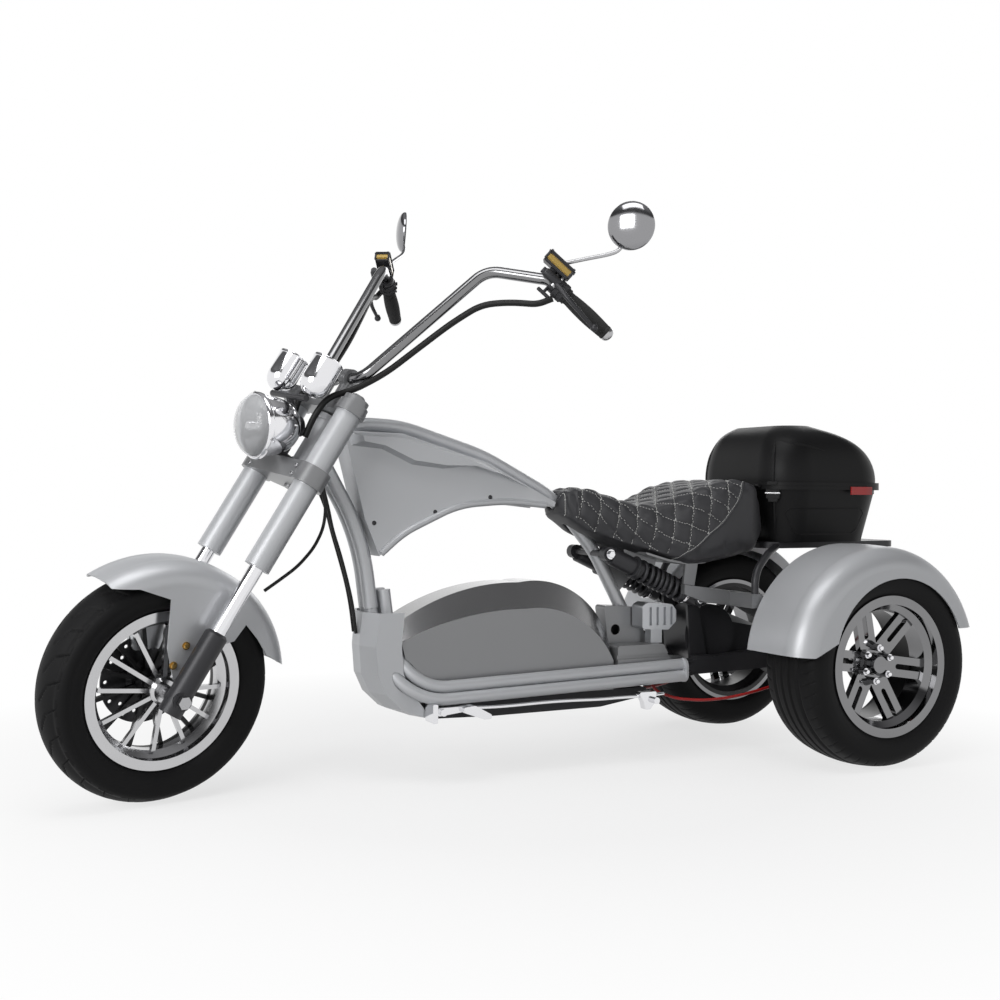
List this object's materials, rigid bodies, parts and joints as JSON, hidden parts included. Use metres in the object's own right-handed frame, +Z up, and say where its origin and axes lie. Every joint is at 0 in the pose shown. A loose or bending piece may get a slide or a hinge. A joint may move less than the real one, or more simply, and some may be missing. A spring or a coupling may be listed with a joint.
{
  "type": "motorized trike",
  "caption": "Low three-wheeled scooter in chopper style: long raked fork, high bars, slung seat, wide rear wheels under fenders and a hinged top case on a rack.",
  "frame": {"origin": "on the ground, under the middle of the vehicle's bounding box as it stands with the bars turned 15 degrees left", "axes": "+X forward along the vehicle, +Y to the rider's left, +Z up"},
  "size_m": [2.1517, 0.9311, 1.3896],
  "materials": {
    "silver_paint": "satin",
    "black_paint": "satin",
    "gloss_black": "gloss",
    "black_plastic": "matte",
    "chrome": "polished",
    "cast_alloy": "cast",
    "steel": "brushed",
    "tyre": "moulded",
    "seat_leather": "stitched",
    "grip_rubber": "ribbed",
    "red_hose": "smooth",
    "black_hose": "smooth",
    "lamp_glass": "clear",
    "red_lens": "gloss"
  },
  "bodies": {
    "chassis": {"backbone_tube": "silver_paint", "battery_housing": "silver_paint", "battery_panels": "silver_paint", "belly_pan": "black_plastic", "brake_linkage": "steel", "case_base": "black_plastic", "case_reflectors": "red_lens", "cross_beam": "silver_paint", "downtube": "silver_paint", "drive_unit": "gloss_black", "frame_cables": "black_hose", "front_shield": "silver_paint", "head_tube": "silver_paint", "luggage_rack": "black_paint", "rear_brake_hoses": "red_hose", "rear_caliper": "cast_alloy", "rear_crossmember": "silver_paint", "rear_fender_left": "silver_paint", "rear_fender_right": "silver_paint", "seat": "seat_leather", "seat_mount": "silver_paint", "shock_bodies": "black_paint", "shock_springs": "steel", "side_rail_left": "silver_paint", "side_rail_right": "silver_paint", "swing_arms": "black_paint", "tail_lamp": "red_lens", "tank_cover": "silver_paint"},
    "steering": {"fork_sleeves": "silver_paint", "fork_stanchions": "chrome", "fork_sliders": "black_paint", "front_axle": "steel", "lower_clamp": "silver_paint", "top_clamp": "silver_paint", "handlebar": "chrome", "grips": "grip_rubber", "bar_controls": "black_plastic", "mirrors": "chrome", "headlamp_bowl": "chrome", "headlamp_glass": "lamp_glass", "lamp_bracket": "black_paint", "gauge_pods": "chrome", "front_fender": "silver_paint", "front_caliper": "cast_alloy", "bar_cables": "black_hose", "front_brake_hose": "black_hose"},
    "front_wheel": {"front_tyre": "tyre", "front_rim": "cast_alloy", "front_disc": "steel"},
    "rear_wheel_left": {"rear_tyre_left": "tyre", "rear_rim_left": "chrome"},
    "rear_wheel_right": {"rear_tyre_right": "tyre", "rear_rim_right": "chrome"},
    "case_lid": {"case_lid": "black_plastic"}
  },
  "joints": [
    {"name": "steer", "type": "hinge", "parent": "chassis", "child": "steering", "pos_m": [0.80692, 0.038, 0.23033], "axis": [-0.5225, 0, 0.8526], "range_deg": [-50, 20]},
    {"name": "front_wheel_spin", "type": "hinge", "parent": "steering", "child": "front_wheel", "pos_m": [0.83163, 0.04576, 0.24547], "axis": [-0.2207, 0.9659, -0.1352], "continuous": true},
    {"name": "rear_left_spin", "type": "hinge", "parent": "chassis", "child": "rear_wheel_left", "pos_m": [-0.8035, 0.3465, 0.245], "axis": [0, 1, 0], "continuous": true},
    {"name": "rear_right_spin", "type": "hinge", "parent": "chassis", "child": "rear_wheel_right", "pos_m": [-0.8035, -0.2705, 0.245], "axis": [0, 1, 0], "continuous": true},
    {"name": "case_lid_hinge", "type": "hinge", "parent": "chassis", "child": "case_lid", "pos_m": [-0.6305, 0.038, 0.67215], "axis": [0, 1, 0], "range_deg": [0, 65]}
  ]
}
